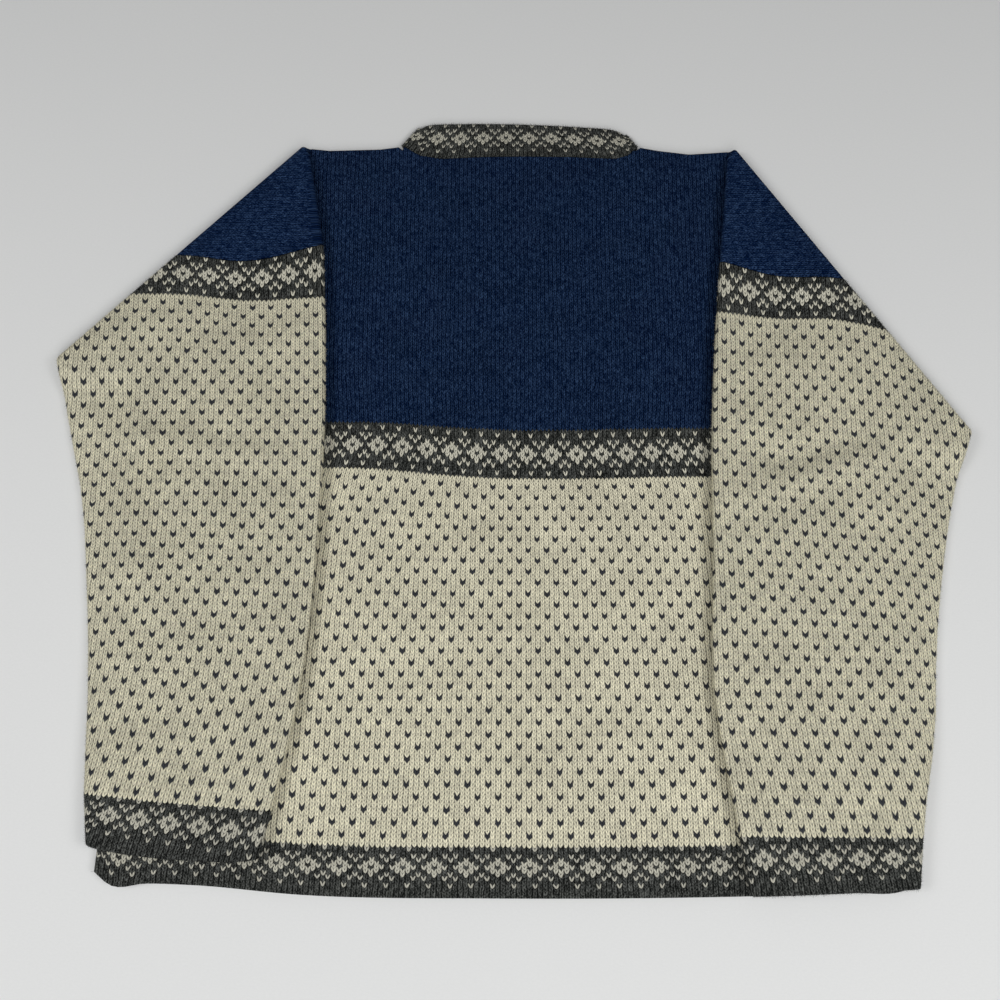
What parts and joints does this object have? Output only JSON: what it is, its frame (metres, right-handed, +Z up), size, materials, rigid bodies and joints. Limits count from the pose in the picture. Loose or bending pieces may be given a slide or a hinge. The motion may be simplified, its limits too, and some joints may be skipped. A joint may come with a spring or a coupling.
{
  "type": "quarter-zip sweater",
  "caption": "Knitted wool sweater laid flat on its front, sleeves folded over the back, with a stand collar and a short front zip underneath.",
  "frame": {"origin": "on the floor, under the middle of the garment's box", "axes": "+X across the back, to the right as seen from above with the collar away from the viewer; +Y from the hem to the collar; +Z up, out of the back of the garment"},
  "size_m": [0.773, 0.6712, 0.0127],
  "materials": {
    "wool_cream": "matte stranded wool knit, oatmeal with dark blue flecks",
    "wool_navy": "matte heathered blue wool knit",
    "wool_grey": "matte charcoal heather wool knit",
    "zip_tape": "woven polyester tape",
    "zip_coil": "nylon coil",
    "zip_metal": "dull plated zinc"
  },
  "bodies": {
    "garment": {"front": "wool_navy", "back": "wool_navy", "sleeve_left": "wool_cream", "sleeve_right": "wool_cream", "collar": "wool_grey", "zip_tape_left": "zip_tape", "zip_tape_right": "zip_tape", "zip_chain": "zip_coil", "zip_slider": "zip_metal"},
    "pull_tab": {"zip_pull": "zip_metal"}
  },
  "joints": [
    {"name": "pull_tab_hinge", "type": "hinge", "parent": "garment", "child": "pull_tab", "pos_m": [0.0102, 0.2663, 0.0006], "axis": [-1, 0, 0], "range_deg": [0, 150]}
  ]
}
